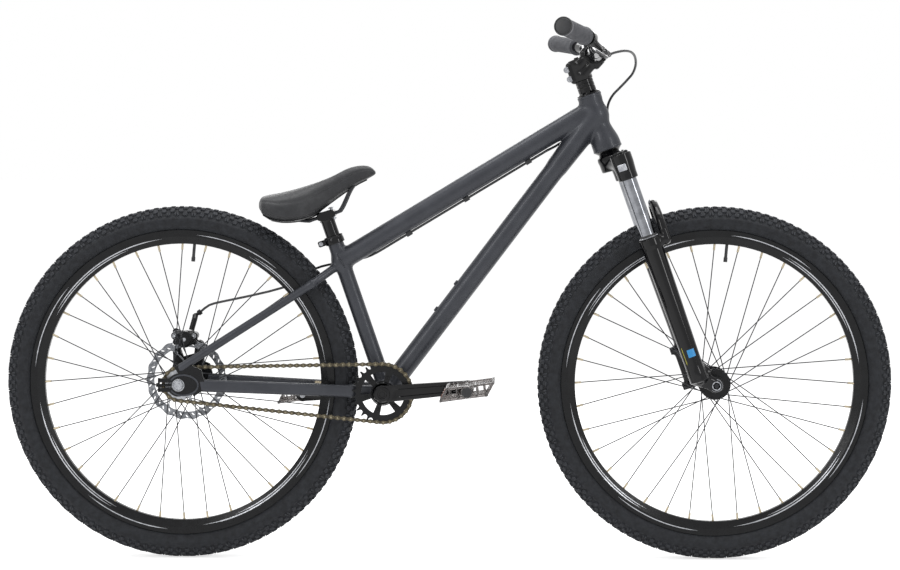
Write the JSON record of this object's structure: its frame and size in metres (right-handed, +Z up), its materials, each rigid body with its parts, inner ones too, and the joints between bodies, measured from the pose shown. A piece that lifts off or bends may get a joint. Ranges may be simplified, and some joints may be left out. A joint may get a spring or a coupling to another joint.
{
  "type": "dirt jump bike",
  "caption": "Dirt jump bicycle with a sloping frame, sprung fork, wide riser bar, low saddle, single-speed chain drive and cable rear disc brake.",
  "frame": {"origin": "on the ground under the middle of the bike, midway between the two axles", "axes": "+X forward, +Y to the rider's left, +Z up; the drive side is at -Y"},
  "size_m": [1.72, 0.7594, 1.033],
  "materials": {
    "black_alloy": "satin",
    "black_plastic": "matte",
    "black_steel": "satin",
    "chain_steel": "satin",
    "chrome_tube": "polished",
    "frame_paint": "satin",
    "gloss_black": "gloss",
    "grip_rubber": "matte",
    "housing": "satin",
    "lever_black": "satin",
    "pedal_plastic": "gloss",
    "saddle_shell": "matte",
    "saddle_skin": "matte",
    "seal_rubber": "matte",
    "steel": "satin",
    "tyre_rubber": "matte"
  },
  "bodies": {
    "frame": {"head_tube": "frame_paint", "top_tube": "frame_paint", "down_tube": "frame_paint", "seat_tube": "frame_paint", "bottom_bracket_shell": "frame_paint", "chainstays": "frame_paint", "seatstays": "frame_paint", "dropouts": "black_alloy", "headset_bearings": "steel", "bottom_bracket_cups": "black_alloy", "seat_clamp": "black_alloy", "chain_tensioners": "black_alloy", "rear_axle": "steel", "cable_clips": "black_plastic", "chain": "chain_steel", "brake_housing": "housing", "brake_housing_loop": "housing", "caliper_body": "black_alloy", "caliper_bolts": "steel"},
    "brake_arm": {"brake_arm": "black_alloy"},
    "seat": {"seatpost": "gloss_black", "saddle_clamp": "black_alloy", "saddle_rails": "black_steel", "saddle_base": "saddle_shell", "saddle_cover": "saddle_skin"},
    "fork_upper": {"fork_crown": "gloss_black", "stanchions": "chrome_tube", "headset_spacers": "black_alloy", "headset_top_cap": "black_alloy", "stem": "black_alloy", "stem_faceplate": "black_alloy", "stem_bolts": "steel", "handlebar": "gloss_black", "grips": "grip_rubber", "bar_end_plugs": "black_plastic", "lever_bracket": "black_alloy"},
    "brake_lever": {"brake_lever": "lever_black"},
    "fork_lower": {"fork_lowers": "gloss_black", "fork_seals": "seal_rubber", "front_axle": "steel"},
    "front_wheel": {"front_tyre": "tyre_rubber", "front_rim": "black_alloy", "front_spokes": "black_steel", "front_hub": "black_alloy", "front_hub_bearings": "steel", "front_valve": "black_plastic"},
    "rear_wheel": {"rear_tyre": "tyre_rubber", "rear_rim": "black_alloy", "rear_spokes": "black_steel", "rear_hub": "black_alloy", "rear_hub_bearings": "steel", "rear_valve": "black_plastic", "brake_rotor": "steel"},
    "cog": {"cog": "steel"},
    "crank": {"crank_arms": "gloss_black", "crank_spindle": "steel", "chainring": "black_alloy", "pedal_axles": "steel"},
    "right_pedal": {"right_pedal": "pedal_plastic"},
    "left_pedal": {"left_pedal": "pedal_plastic"}
  },
  "joints": [
    {"name": "steering", "type": "hinge", "parent": "frame", "child": "fork_upper", "pos_m": [0.47552, 0, 0.32831], "axis": [-0.3338, 0, 0.9426], "range_deg": [-60, 60], "deforming": ["brake_housing_loop"]},
    {"name": "fork_travel", "type": "slide", "parent": "fork_upper", "child": "fork_lower", "axis": [-0.3338, 0, 0.9426], "range_m": [0, 0.1], "stiffness_N_per_m": 7000, "springref_m": -0.012},
    {"name": "front_wheel_spin", "type": "hinge", "parent": "fork_lower", "child": "front_wheel", "pos_m": [0.517, 0, 0.343], "axis": [0, 1, 0], "continuous": true},
    {"name": "rear_wheel_spin", "type": "hinge", "parent": "frame", "child": "rear_wheel", "pos_m": [-0.517, 0, 0.343], "axis": [0, 1, 0], "continuous": true},
    {"name": "crank_spin", "type": "hinge", "parent": "frame", "child": "crank", "pos_m": [-0.12442, 0, 0.326], "axis": [0, 1, 0], "continuous": true, "deforming": ["chain"]},
    {"name": "cog_spin", "type": "hinge", "parent": "frame", "child": "cog", "pos_m": [-0.517, 0, 0.343], "axis": [0, 1, 0], "continuous": true},
    {"name": "right_pedal_spin", "type": "hinge", "parent": "crank", "child": "right_pedal", "pos_m": [0.03995, 0, 0.34038], "axis": [0, 1, 0], "continuous": true},
    {"name": "left_pedal_spin", "type": "hinge", "parent": "crank", "child": "left_pedal", "pos_m": [-0.28879, 0, 0.31162], "axis": [0, 1, 0], "continuous": true},
    {"name": "brake_lever_pull", "type": "hinge", "parent": "fork_upper", "child": "brake_lever", "pos_m": [0.29195, -0.23799, 0.97271], "axis": [-0.6704, 0.1523, -0.7262], "range_deg": [0, 14], "stiffness_Nm_per_rad": 0.6, "springref_deg": -8.59},
    {"name": "brake_arm_pull", "type": "hinge", "parent": "frame", "child": "brake_arm", "pos_m": [-0.51951, 0.0522, 0.42296], "axis": [0, 1, 0], "range_deg": [0, 14]},
    {"name": "seatpost_height", "type": "slide", "parent": "frame", "child": "seat", "axis": [-0.3256, 0, 0.9455], "range_m": [-0.01, 0.1]}
  ],
  "couplings": [
    {"joint": "cog_spin", "follows": "crank_spin", "ratio": 1.75},
    {"joint": "brake_arm_pull", "follows": "brake_lever_pull", "ratio": 1}
  ]
}
